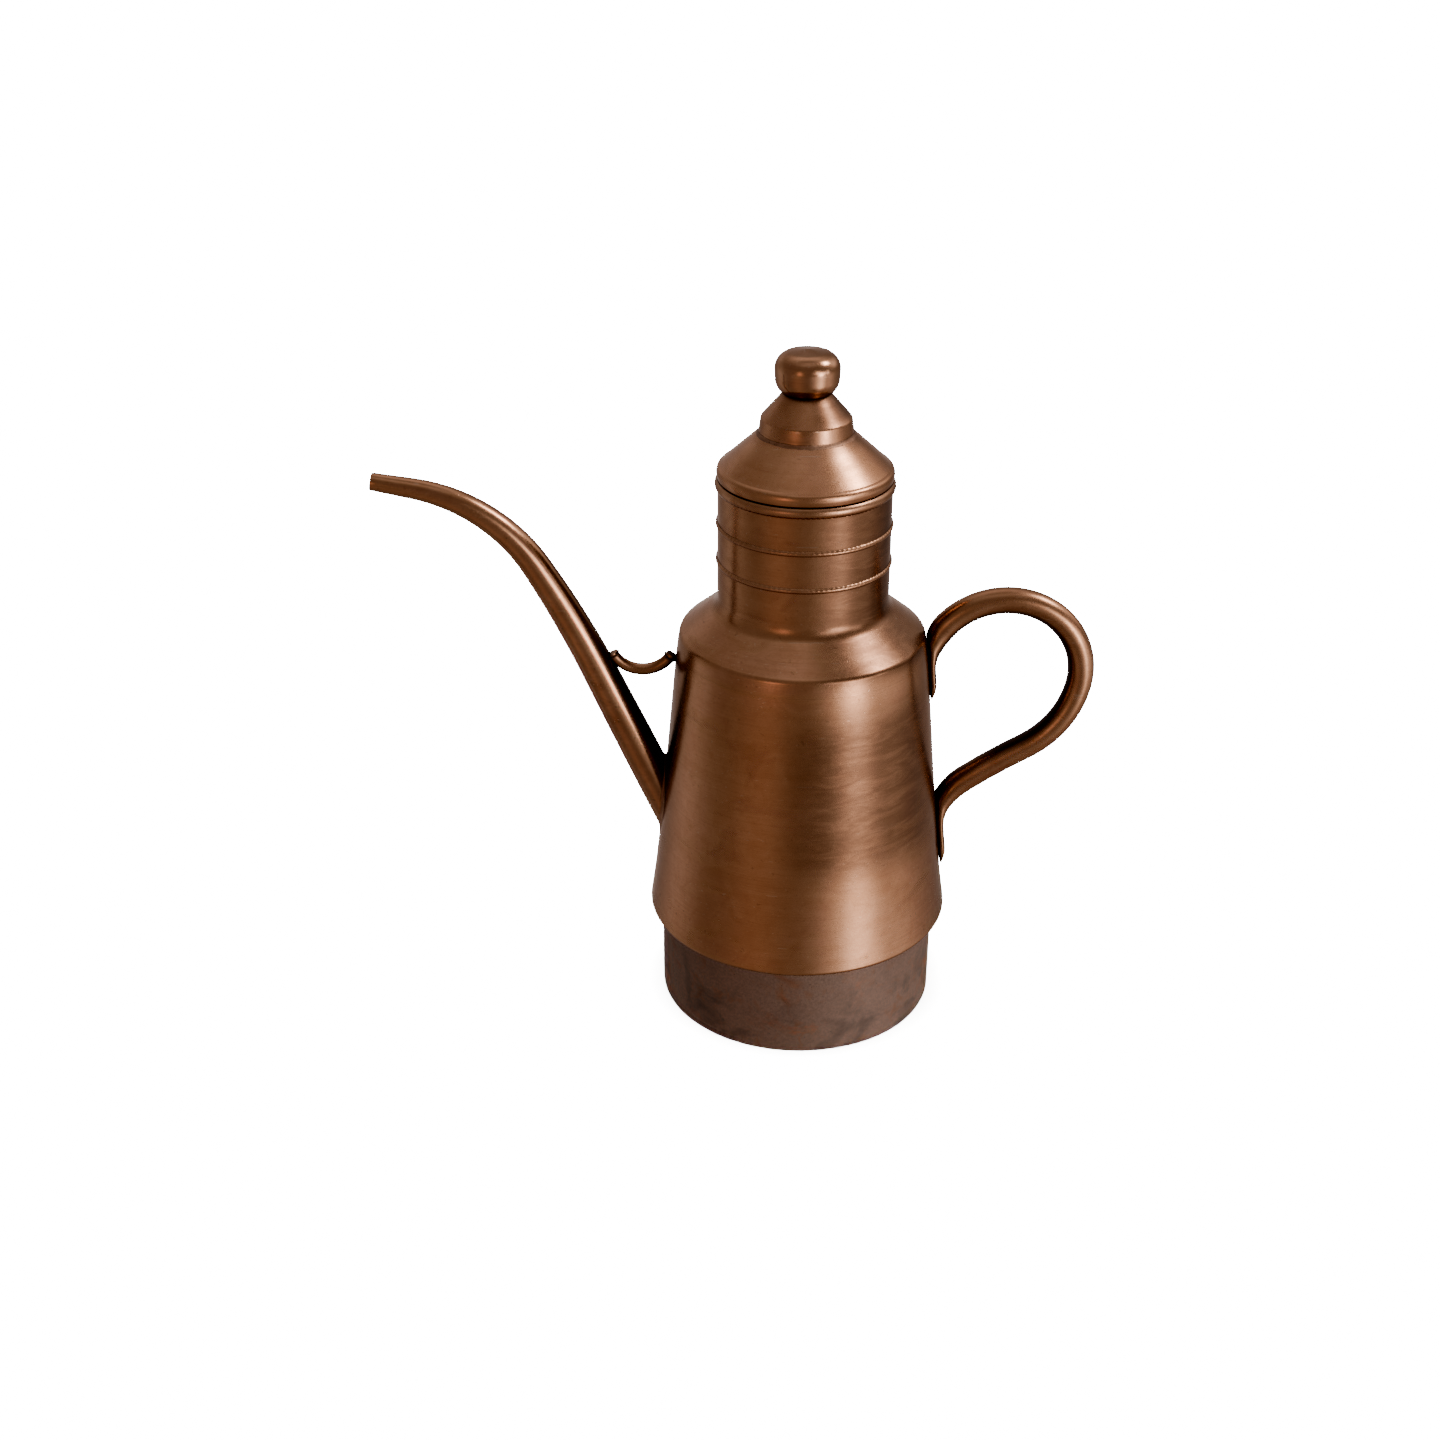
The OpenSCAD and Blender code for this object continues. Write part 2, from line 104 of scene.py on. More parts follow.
def rounded(line, steps=10):
    """The [r, z, rounding] line with its corners rounded."""
    out = []
    for i, (r, z, rounding) in enumerate(line):
        here = np.array([r, z])
        if not rounding:
            out.append(here)
            continue
        before = np.array(line[i - 1][:2]) - here
        after = np.array(line[i + 1][:2]) - here
        before /= np.linalg.norm(before)
        after /= np.linalg.norm(after)
        half = math.acos(float(before @ after)) / 2
        centre = here + (before + after) / np.linalg.norm(before + after) * rounding / math.sin(half)
        start = here + before * rounding / math.tan(half) - centre
        end = here + after * rounding / math.tan(half) - centre
        a = math.atan2(start[1], start[0])
        turn = (math.atan2(end[1], end[0]) - a + math.pi) % (2 * math.pi) - math.pi
        for k in range(steps + 1):
            b = a + turn * k / steps
            out.append(centre + rounding * np.array([math.cos(b), math.sin(b)]))
    return np.array(out)


def shifted(line, t):
    """The line moved sideways by t, to its left."""
    line = np.asarray(line, float)
    way = np.diff(line, axis=0)
    way /= np.linalg.norm(way, axis=1)[:, None]
    side = np.stack([-way[:, 1], way[:, 0]], axis=1)
    before = np.vstack([side[:1], side])
    after = np.vstack([side, side[-1:]])
    return line + t * (before + after) / (1 + (before * after).sum(1))[:, None]


def curve(p, corner, q, t):
    """Point of the smooth curve from p to q that starts and ends along the lines to the corner."""
    return p * (1 - t) ** 2 + corner * 2 * t * (1 - t) + q * t ** 2


def dense(line, step=2.5):
    """The closed line with points added so that none are further apart than step."""
    out = []
    for a, b in zip(line, np.roll(line, -1, axis=0)):
        parts = max(1, math.ceil(np.linalg.norm(b - a) / step))
        out += [a + (b - a) * k / parts for k in range(parts)]
    return np.array(out)


def sheet_loop(line, thickness):
    """Closed outline of a sheet: its outside line, then its inside line on the way back."""
    return np.vstack([line, shifted(line, thickness)[::-1]])


def wall_r(z):
    """Outer radius of the body's wall: straight, flared at its foot and tucked in at the shoulder."""
    rise = (SHOULDER_Z - z) / (SHOULDER_Z - FOOT_H)
    flare = max(0.0, 1 - (z - FOOT_H) / FLARE_H) ** 2 * FLARE if z < FOOT_H + FLARE_H else 0.0
    tuck = TUCK * max(0.0, (z - SHOULDER_Z) / TUCK_H + 1) ** 2
    return SHOULDER_R + (BASE_R - FLARE - SHOULDER_R) * rise + flare - tuck


def wall_line(from_z, to_z, steps=40):
    return [[wall_r(z), z] for z in np.linspace(from_z, to_z, steps + 1)]


# ---- Meshes -----------------------------------------------------------------------------------

def make(name, vertices, faces, sharp=38):
    """A smooth-shaded mesh object; edges of more than sharp degrees stay crisp."""
    mesh = bpy.data.meshes.new(name)
    mesh.from_pydata([tuple(v * MM) for v in np.asarray(vertices, float)], [], faces)
    mesh.validate()
    piece = bpy.data.objects.new(name, mesh)
    bpy.context.scene.collection.objects.link(piece)
    finish_mesh(piece, sharp)
    return piece


def finish_mesh(piece, sharp=38):
    """Turns a mesh's faces outwards and shades it."""
    mesh = piece.data
    work = bmesh.new()
    work.from_mesh(mesh)
    bmesh.ops.recalc_face_normals(work, faces=work.faces)
    work.to_mesh(mesh)
    work.free()
    mesh.polygons.foreach_set("use_smooth", [True] * len(mesh.polygons))
    mesh.set_sharp_from_angle(angle=math.radians(sharp))
    mesh.update()


def lathe(name, loop, segments=192, uneven=0.0, step=2.5, sharp=38):
    """A round piece from a closed [r, z] outline, with its radius slightly uneven."""
    loop = dense(np.asarray(loop, float), step)
    count = len(loop)
    angles = np.arange(segments) * 2 * math.pi / segments
    radius = np.repeat(loop[None, :, 0], segments, axis=0)
    height = np.repeat(loop[None, :, 1], segments, axis=0)
    across = np.cos(angles)[:, None]
    along = np.sin(angles)[:, None]
    if uneven:
        flat = np.stack([radius * across, radius * along, height], axis=-1).reshape(-1, 3)
        waves = np.array([uneven_at(p) for p in flat]).reshape(radius.shape)
        radius = radius + uneven * (waves - 1)
    points = np.stack([radius * across, radius * along, height], axis=-1).reshape(-1, 3)
    faces = []
    for j in range(segments):
        k = (j + 1) % segments
        for i in range(count):
            n = (i + 1) % count
            faces.append((j * count + i, j * count + n, k * count + n, k * count + i))
    return make(name, points, faces, sharp)


def uneven_at(point):
    """From -1 to 1: how far hand-beaten sheet stands off its true shape at a point."""
    wide = noise.noise(Vector(point) / 34)
    small = noise.noise(Vector(point) / 13 + Vector((7, 3, 5)))
    return max(-1.0, min(1.0, 1.3 * wide + 0.4 * small))


def grid_faces(rings, sides, closed=False):
    """Faces between rings of points; closed joins the last ring to the first."""
    faces = []
    for i in range(rings if closed else rings - 1):
        n = (i + 1) % rings
        for k in range(sides):
            m = (k + 1) % sides
            faces.append((i * sides + k, n * sides + k, n * sides + m, i * sides + m))
    return faces


def swept(name, rings, caps=True, sharp=38):
    """A rod through a list of rings of points."""
    rings = np.asarray(rings, float)
    count, sides = rings.shape[:2]
    faces = grid_faces(count, sides)
    if caps:
        faces.append(tuple(range(sides)))
        faces.append(tuple((count - 1) * sides + k for k in range(sides)))
    return make(name, rings.reshape(-1, 3), faces, sharp)


def cut(piece, tool):
    """Takes the tool's solid away from the piece, and removes the tool."""
    change = piece.modifiers.new("cut", "BOOLEAN")
    change.operation = "DIFFERENCE"
    change.solver = "EXACT"
    change.object = tool
    bpy.context.view_layer.update()
    mesh = bpy.data.meshes.new_from_object(piece.evaluated_get(bpy.context.evaluated_depsgraph_get()))
    piece.modifiers.remove(change)
    old = piece.data
    piece.data = mesh
    mesh.name = piece.name
    bpy.data.meshes.remove(old)
    tool_mesh = tool.data
    bpy.data.objects.remove(tool)
    bpy.data.meshes.remove(tool_mesh)
    finish_mesh(piece)


# ---- Body -------------------------------------------------------------------------------------

foot = lathe("foot_sleeve", rounded([
    [FOOT_R - SHEET, 0.5, 0],
    [FOOT_R - SHEET, 0, 0.35],
    [FOOT_R, 0, 0.5],
    [FOOT_R, FOOT_TOP, 0],
    [FOOT_R - SHEET, FOOT_TOP, 0]], 5), uneven=0.12)

lip_z = FOOT_H + 3.2
overlap_z = JOINT_Z - 6
overlap_t = 1.05
wall_outline = np.vstack([
    rounded([[FOOT_R + SEAM, FOOT_H, 0], [BASE_R, FOOT_H, 1.6], [wall_r(lip_z), lip_z, 0]]),
    wall_line(lip_z + 1, JOINT_Z)])
body = lathe("body_shell", sheet_loop(wall_outline, SHEET), segments=256, uneven=0.05)

neck_outline = rounded([
    [wall_r(JOINT_Z), JOINT_Z + SEAM, 0],
    [wall_r(JOINT_Z + 2), JOINT_Z + 2, 0],
    [wall_r(JOINT_Z + 3.6), JOINT_Z + 3.6, 0],
    [SHOULDER_R - 0.55, SHOULDER_Z, 3.6],
    [NECK_R, NECK_Z, 8],
    [NECK_R, MOUTH_Z, 0.4],
    [NECK_R - SHEET, MOUTH_Z, 0.4],
    [NECK_R - SHEET, MOUTH_Z - 3, 0]])
neck_inside = rounded([
    [NECK_R - SHEET, MOUTH_Z - 3, 0],
    [NECK_R - SHEET, NECK_Z, 8],
    [SHOULDER_R - SHEET, SHOULDER_Z, 5],
    [wall_r(JOINT_Z + 2) - 1.9, JOINT_Z + 2, 0],
    [wall_r(overlap_z) - 1.9, overlap_z, 0],
    [wall_r(overlap_z) - overlap_t, overlap_z, 0],
    [wall_r(JOINT_Z) - overlap_t, JOINT_Z + SEAM, 0]])
neck = lathe("shoulder_and_neck", np.vstack([neck_outline, neck_inside[1:]]), segments=256, uneven=0.03)


# ---- Bands ------------------------------------------------------------------------------------

def notched_band(name, outline, notch_z, depth, notches=108, per_notch=6, reach=0.5):
    """A soldered band whose edge at notch_z is nicked all round."""
    outline = dense(np.asarray(outline, float), 0.3)
    segments = notches * per_notch
    rings = []
    for j in range(segments):
        a = 2 * math.pi * j / segments
        nick = 1 + 0.9 * noise.noise(Vector((11 * math.cos(a), 11 * math.sin(a), notch_z)))
        wave = (0.5 - 0.5 * math.cos(2 * math.pi * j / per_notch)) * nick
        near = np.exp(-((outline[:, 1] - notch_z) / reach) ** 2)
        r = outline[:, 0] - depth * wave * near * (outline[:, 0] > NECK_R + 0.15)
        rings.append(np.stack([r * math.cos(a), r * math.sin(a), outline[:, 1]], axis=1))
    rings = np.array(rings)
    return make(name, rings.reshape(-1, 3), grid_faces(segments, len(outline), closed=True), 55)


def bead_outline(z, half, width):
    """Half-round section against the neck."""
    round_r = (half ** 2 + width ** 2) / (2 * width)
    centre_r = NECK_R + SEAM + width - round_r
    open_angle = math.asin(half / round_r)
    turn = np.linspace(-open_angle, open_angle, 15)
    return np.stack([centre_r + round_r * np.cos(turn), z + round_r * np.sin(turn)], axis=1)


beads = []
for level, node in (("lower", "neck_band_lower"), ("upper", "neck_band_upper")):
    z0, z1 = low(node).z, high(node).z
    middle = (z0 + z1) / 2
    half = (z1 - z0) / 2
    bead = notched_band("bead_" + level, bead_outline(middle, half, 0.65), middle + half * 0.7, 0.16)
    beads.append(bead)
rim_low = low("rim_band").z
rim = notched_band("mouth_band", bead_outline((rim_low + MOUTH_Z) / 2, (MOUTH_Z - rim_low) / 2, 1.05),
                   rim_low + 0.3, 0.16)


# ---- Spout ------------------------------------------------------------------------------------

SPOUT_START = np.array([-59.3, 95.0])
ROOT_R, TIP_R = 8.2, 3.7
LEAN, RUN = 24.0, 64.0
SLOW_R, SLOW_TURN = 440.0, 7.0
TOP_R, TOP_TURN = 72.0, 48.5
TIP_RUN = 17.0
SLOW_END = RUN + math.radians(SLOW_TURN) * SLOW_R
TOP_END = SLOW_END + math.radians(TOP_TURN) * TOP_R
SPOUT_LENGTH = TOP_END + TIP_RUN


def heading(lean):
    """Direction that leans that many degrees from upright towards -X."""
    a = math.radians(lean)
    return np.array([-math.sin(a), math.cos(a)])


def spout_lean(s):
    slow = min(max((s - RUN) / (SLOW_END - RUN), 0), 1)
    top = min(max((s - SLOW_END) / (TOP_END - SLOW_END), 0), 1)
    return LEAN + SLOW_TURN * slow + TOP_TURN * top


def chord(radius, lean, turn):
    """From the start to the end of a bend that starts at that lean."""
    return 2 * radius * math.sin(math.radians(turn) / 2) * heading(lean + turn / 2)


def spout_at(s):
    """Point of the spout's line, in [x, z], at a length s from where it leaves the wall."""
    return (SPOUT_START
            + min(s, RUN) * heading(LEAN)
            + chord(SLOW_R, LEAN, spout_lean(min(s, SLOW_END)) - LEAN)
            + chord(TOP_R, LEAN + SLOW_TURN, max(spout_lean(s) - LEAN - SLOW_TURN, 0))
            + max(s - TOP_END, 0) * heading(LEAN + SLOW_TURN + TOP_TURN))


def spout_r(s):
    return ROOT_R - (ROOT_R - TIP_R) * (max(s, 0) / SPOUT_LENGTH) ** 1.6


def pipe_point(s, angle, radius):
    """Point at an angle round the pipe; angle 0 is the side that faces the body."""
    x, z = spout_at(s)
    lean = math.radians(spout_lean(s))
    out = radius * math.cos(angle)
    return np.array([x + out * math.cos(lean), radius * math.sin(angle), z + out * math.sin(lean)])


def pipe_ring(s, radius, sides):
    return [pipe_point(s, 2 * math.pi * k / sides, radius) for k in range(sides)]


PIPE_SIDES = 64
ROOT_S = -28
LIP_R = 0.5
stations = np.linspace(ROOT_S, SPOUT_LENGTH - LIP_R, 96)
outer = [pipe_ring(s, spout_r(s), PIPE_SIDES) for s in stations]
lip = []
for k in range(1, 8):
    a = math.pi * k / 8
    lip.append(pipe_ring(SPOUT_LENGTH - LIP_R + LIP_R * math.sin(a),
                         TIP_R - LIP_R + LIP_R * math.cos(a), PIPE_SIDES))
bore = [pipe_ring(s, spout_r(s) - SHEET, PIPE_SIDES) for s in stations[::-1]]
rings = outer + lip + bore
pipe = make("spout_pipe", np.array(rings).reshape(-1, 3), grid_faces(len(rings), PIPE_SIDES, closed=True))
inside_line = shifted(wall_line(FOOT_H, SHOULDER_Z, 20), SHEET)
inside = lathe("wall_inside", np.vstack([[[0.01, FOOT_H - 5]], [[BASE_R - 4, FOOT_H - 5]],
                                         inside_line, [[0.01, SHOULDER_Z]]]), step=40)
cut(pipe, inside)

hole = swept("spout_hole", [pipe_ring(s, ROOT_R + SEAM, PIPE_SIDES) for s in (ROOT_S, 40)])
cut(body, hole)


def meets_wall(angle, radius):
    """Length along the spout at which a line at that angle and radius leaves the wall."""
    inner_s, outer_s = -45.0, 60.0
    for _ in range(50):
        s = (inner_s + outer_s) / 2
        x, y, z = pipe_point(s, angle, radius)
        if math.hypot(x, y) < wall_r(z):
            inner_s = s
        else:
            outer_s = s
    return (inner_s + outer_s) / 2


def spout_solder(width=1.5, height=2.4, sunk=0.4, sides=96):
    """A fillet of solder round the spout's root."""
    rings = []
    for k in range(sides):
        a = 2 * math.pi * k / sides
        wobble = 1 + 0.22 * noise.noise(Vector((3 * math.cos(a), 3 * math.sin(a), 0.5)))
        corner_at = meets_wall(a, ROOT_R)
        corner = pipe_point(corner_at, a, ROOT_R)
        on_pipe = pipe_point(corner_at + height * wobble, a, ROOT_R + 0.02)
        reach = ROOT_R + width * wobble
        on_wall = pipe_point(meets_wall(a, reach), a, reach)
        way = np.array([corner[0], corner[1], 0]) / math.hypot(corner[0], corner[1])
        bend = corner + 0.25 * ((on_pipe + on_wall) / 2 - corner)
        section = [curve(on_pipe, bend, on_wall, t) for t in np.linspace(0, 1, 9)]
        rings.append(section + [on_wall - sunk * way, corner - sunk * way])
    rings = np.array(rings)
    return make("spout_solder", rings.reshape(-1, 3), grid_faces(sides, rings.shape[1], closed=True), 70)


solder = spout_solder()

# ---- Brace ------------------------------------------------------------------------------------

BRACE_CENTRE = np.array([-67.0, 168.4])
BRACE_BEND = 14.5
BRACE_R = 2.5


def brace_point(angle, b, radius):
    """Point at angle b round the rod, at an angle in degrees along its bend."""
    a = math.radians(angle)
    x, z = BRACE_CENTRE + (BRACE_BEND + radius * math.cos(b)) * np.array([math.cos(a), math.sin(a)])
    return [x, radius * math.sin(b), z]


def brace_ring(angle, radius, sides=32):
    return [brace_point(angle, 2 * math.pi * k / sides, radius) for k in range(sides)]


brace_low, brace_high = -151.5, -31.0
brace = swept("brace_rod", [brace_ring(a, BRACE_R) for a in np.linspace(brace_low, brace_high, 48)])


def brace_solder(name, angle, way, thick=0.55, length=5, sunk=0.3, sides=40):
    """A small collar of solder round an end of the brace; way is the sign of the way out."""
    rings = []
    for k in range(sides):
        b = 2 * math.pi * k / sides
        wobble = 1 + 0.3 * noise.noise(Vector((2 * math.cos(b), 2 * math.sin(b), angle)))
        section = [brace_point(angle + way * t * length, b, BRACE_R + (1 - t) ** 2 * thick * wobble)
                   for t in np.linspace(0, 1, 7)]
        section += [brace_point(angle + way * back, b, BRACE_R - sunk) for back in (length, 0)]
        rings.append(section)
    rings = np.array(rings)
    return make(name, rings.reshape(-1, 3), grid_faces(sides, rings.shape[1], closed=True), 70)


brace_solder_pipe = brace_solder("brace_solder_pipe", brace_low + 3, 1)
brace_solder_wall = brace_solder("brace_solder_wall", brace_high - 6, -1)

# ---- Handle -----------------------------------------------------------------------------------

GRIP_R = 5.58
CROWN_CENTRE = np.array([85.1, 152.6])
CROWN_R, CROWN_START, CROWN_SWEEP = 33.0, 140.2, 150.0
BACK_R, BACK_SWEEP = 43.0, 51.0
ARM_R, ARM_SWEEP = 240.0, 7.0
TAB_T, TAB_W, TIP_T, TAB_TIP = 3.1, 6.4, 1.0, 6.0
LYING_PART, TURN_PART = 0.45, 0.45
UPPER_TAB = (155.0, 142.0)
LOWER_TAB = (61.5, 78.0)
UPPER_LEAVE, LOWER_LEAVE = 169.5, 94.0


def around(centre, radius, angle):
    """Point at an angle in degrees on a circle."""
    a = math.radians(angle)
    return centre + radius * np.array([math.cos(a), math.sin(a)])


crown_end = CROWN_START - CROWN_SWEEP
back_centre = around(CROWN_CENTRE, CROWN_R - BACK_R, crown_end)
back_end = crown_end - BACK_SWEEP
arm_centre = around(back_centre, BACK_R + ARM_R, back_end)
arm_start = back_end + 180
arm_end = arm_start + ARM_SWEEP


def bend_sections(centre, radius, start, sweep, outer, step=3):
    """Sections round a bend; outer is 1 where the rod's left is its outer side, and -1 otherwise.

    A section is [left edge, right edge, half width, how flat its wall side is].
    """
    out = []
    count = math.ceil(abs(sweep) / step)
    for i in range(count + 1):
        a = start + sweep * i / count
        out.append([around(centre, radius + outer * GRIP_R, a), around(centre, radius - outer * GRIP_R, a),
                    GRIP_R, 0.0])
    return out


def cross(a, b):
    return a[0] * b[1] - a[1] * b[0]


def meet(p, dp, q, dq):
    """Where two lines meet, each given by a point and a direction."""
    return p + dp * cross(q - p, dq) / cross(dp, dq)


def wall_way(z0, z1):
    """Direction of the wall between two heights."""
    return heading(math.degrees(math.atan2(wall_r(z0) - wall_r(z1), z1 - z0)))


def on_wall(z, off):
    """Point that stands off the wall by a distance."""
    return np.array([wall_r(z) + SEAM + off, z])


def end_sections(tab, rod, out, leave_z, tab_way, rod_way, steps=20):
    """From a tab on the wall to the round rod: edge out bends away, the other lies on up to leave_z."""
    inner = 1 - out
    leave = on_wall(leave_z, 0)
    corner = rod[inner] - rod_way * np.linalg.norm(rod[inner] - leave) * TURN_PART
    out_sections = []
    for i in range(1, steps):
        t = i / steps
        lift = (t - LYING_PART) / (1 - LYING_PART)
        far = curve(tab[out], meet(tab[out], tab_way, rod[out], rod_way), rod[out], t)
        if lift < 0:
            near = on_wall(tab[inner][1] + (leave_z - tab[inner][1]) * t / LYING_PART, 0)
        else:
            near = curve(leave, corner, rod[inner], lift)
        ease = t * t * (3 - 2 * t)
        edges = [near, far] if out else [far, near]
        out_sections.append(edges + [TAB_W + (GRIP_R - TAB_W) * ease, max(0.0, 1 - 1.6 * ease)])
    return out_sections


def tab_section(z, thickness, upper, half_w=TAB_W):
    edges = [on_wall(z, 0), on_wall(z, thickness)]
    if not upper:
        edges.reverse()
    return edges + [half_w, 1.0]


crown = bend_sections(CROWN_CENTRE, CROWN_R, CROWN_START, -CROWN_SWEEP, 1)
back = bend_sections(back_centre, BACK_R, crown_end, -BACK_SWEEP, 1)
arm = bend_sections(arm_centre, ARM_R, arm_start, ARM_SWEEP, -1)
upper_root = tab_section(UPPER_TAB[0], TAB_T, True)
lower_root = tab_section(LOWER_TAB[1], TAB_T, False)


def tab_run(z_tip, z_root, upper):
    """Sections from the chisel tip of a tab to its root."""
    out = []
    way = 1 if z_root > z_tip else -1
    for t in (0, 0.12, 0.3, 0.55, 0.8, 1):
        thick = TIP_T + (TAB_T - TIP_T) * math.sin(t * math.pi / 2)
        half_w = TAB_W * (0.8 + 0.2 * math.sin(t * math.pi / 2))
        out.append(tab_section(z_tip + way * TAB_TIP * t, thick, upper, half_w))
    for t in (0.33, 0.66):
        z = z_tip + way * (TAB_TIP + (abs(z_root - z_tip) - TAB_TIP) * t)
        out.append(tab_section(z, TAB_T, upper))
    return out


sections = (tab_run(UPPER_TAB[1], UPPER_TAB[0], True)
            + [upper_root]
            + end_sections(upper_root, crown[0], 1, UPPER_LEAVE, wall_way(UPPER_TAB[1], UPPER_TAB[0]),
                           around(np.zeros(2), 1, CROWN_START - 90))
            + crown + back[1:] + arm[1:]
            + end_sections(lower_root, arm[-1], 0, LOWER_LEAVE, wall_way(LOWER_TAB[0], LOWER_TAB[1]),
                           around(np.zeros(2), 1, arm_end - 90))[::-1]
            + [lower_root]
            + tab_run(LOWER_TAB[0], LOWER_TAB[1], False)[::-1])


def section_ring(section, wall_side, sides=48):
    """Ring of points of a section; wall_side is -1 where its left lies on the wall, and 1 otherwise."""
    left, right, half_w, flat = section
    middle = (left + right) / 2
    half = (right - left) / 2
    ring = []
    for k in range(sides):
        a = 2 * math.pi * k / sides
        c, s = math.cos(a), math.sin(a)
        if c * wall_side > 0:
            # the side beaten flat is squarer
            c = math.copysign(abs(c) ** (1 - 0.72 * flat), c)
        x, z = middle + half * c
        ring.append([x, half_w * s, z])
    return ring


handle = swept("handle_rod", [section_ring(section, -1 if i < len(sections) / 2 else 1)
                              for i, section in enumerate(sections)])


# ---- Lid --------------------------------------------------------------------------------------

CONE_SLOPE = LID_CONE_H / (LID_R - 1.5 - CAP_R)
CAP_SEAT_R = CAP_R - SHEET - 0.45


def cone_z(r):
    return CAP_Z + (CAP_R - r) * CONE_SLOPE


lid_outline = rounded([
    [LID_R - 1.9, LID_Z, 0],
    [LID_R - 0.5, LID_Z, 0.8],
    [LID_R + 0.05, LID_Z + 2.6, 3.5],
    [LID_R - 0.5, LID_Z + 4.6, 2.4],
    [LID_R - 1.9, CONE_Z + 0.25, 0.7],
    [CAP_SEAT_R, cone_z(CAP_SEAT_R) + 0.1, 0.6],
    [CAP_SEAT_R - 0.45, CAP_Z + 4, 0]])
lid_inside = np.array([
    [CAP_SEAT_R - 1.45, CAP_Z + 4],
    [CAP_SEAT_R - 1.0, cone_z(CAP_SEAT_R) - 0.9],
    [LID_R - 3.0, cone_z(LID_R - 3.0) - 1.3],
    [LID_R - 1.9, CONE_Z - 1.6]])
lid = lathe("lid_shell", np.vstack([lid_outline, lid_inside]), segments=256, uneven=0.03, step=2.0)

collar = lathe("lid_collar_band", rounded([
    [COLLAR_R - COLLAR_T, MOUTH_Z - COLLAR_DROP + 0.6, 0],
    [COLLAR_R - COLLAR_T, MOUTH_Z - COLLAR_DROP, 0.4],
    [COLLAR_R, MOUTH_Z - COLLAR_DROP, 0.4],
    [COLLAR_R, CONE_Z - 1.9, 0],
    [COLLAR_R - COLLAR_T, CONE_Z - 1.9, 0]], 4))

cap_outline = rounded([
    [CAP_R, cone_z(CAP_R) + SEAM, 0],
    [CAP_R - 0.9, CAP_CORNER_Z, 1.8],
    [9.3, CAP_TOP_Z, 1.5],
    [2.6, CAP_TOP_Z, 0]])
cap_inside = shifted(cap_outline, SHEET)[::-1]
cap_inside[-1, 1] = cone_z(cap_inside[-1, 0]) + SEAM
cap = lathe("lid_cap_shell", np.vstack([cap_outline, cap_inside]), uneven=0.02)


def ring_fillet(name, r, z, reach_out, reach_up, slope, sides=192, wobble=0.25, sunk=0.25):
    """A fillet of solder in the corner between an upright wall at r and a floor that slopes down."""
    rings = []
    for k in range(sides):
        a = 2 * math.pi * k / sides
        grow = 1 + wobble * noise.noise(Vector((6 * math.cos(a), 6 * math.sin(a), z)))
        up = np.array([r - 0.02, z + reach_up * grow])
        out = np.array([r + reach_out * grow, z - reach_out * grow * slope + 0.02])
        corner = np.array([r + 0.12, z + 0.12])
        section = [curve(up, corner, out, t) for t in np.linspace(0, 1, 7)]
        section += [np.array([out[0], out[1] - sunk]), np.array([r - sunk, z - sunk])]
        rings.append([[p[0] * math.cos(a), p[0] * math.sin(a), p[1]] for p in section])
    rings = np.array(rings)
    return make(name, rings.reshape(-1, 3), grid_faces(sides, rings.shape[1], closed=True), 70)


cap_solder = ring_fillet("cap_solder", CAP_R - 0.02, cone_z(CAP_R), 1.0, 0.8, CONE_SLOPE)

knob_outline = rounded([
    [0.01, KNOB_Z - 1.9, 0],
    [KNOB_R - 5.5, KNOB_Z - 1.9, 0],
    [KNOB_R - 0.2, KNOB_Z + 1.1, 8],
    [KNOB_R + 0.4, KNOB_TOP_Z - 1.7, 6.8],
    [0.01, KNOB_TOP_Z, 0]], 24)
# the part of the ball above its seat, and the bore for the stem
above = knob_outline[knob_outline[:, 1] > KNOB_Z + 0.1]
first_r = above[0, 0]
knob = lathe("knob_turned", np.vstack([
    [[2.5, KNOB_Z]], [[first_r - 0.6, KNOB_Z]], [[first_r - 0.2, KNOB_Z + 0.03]], above[:-1],
    [[0.05, KNOB_TOP_Z]], [[0.05, KNOB_Z + 9]], [[2.5, KNOB_Z + 9]]]), step=1.2)

# ---- Materials --------------------------------------------------------------------------------


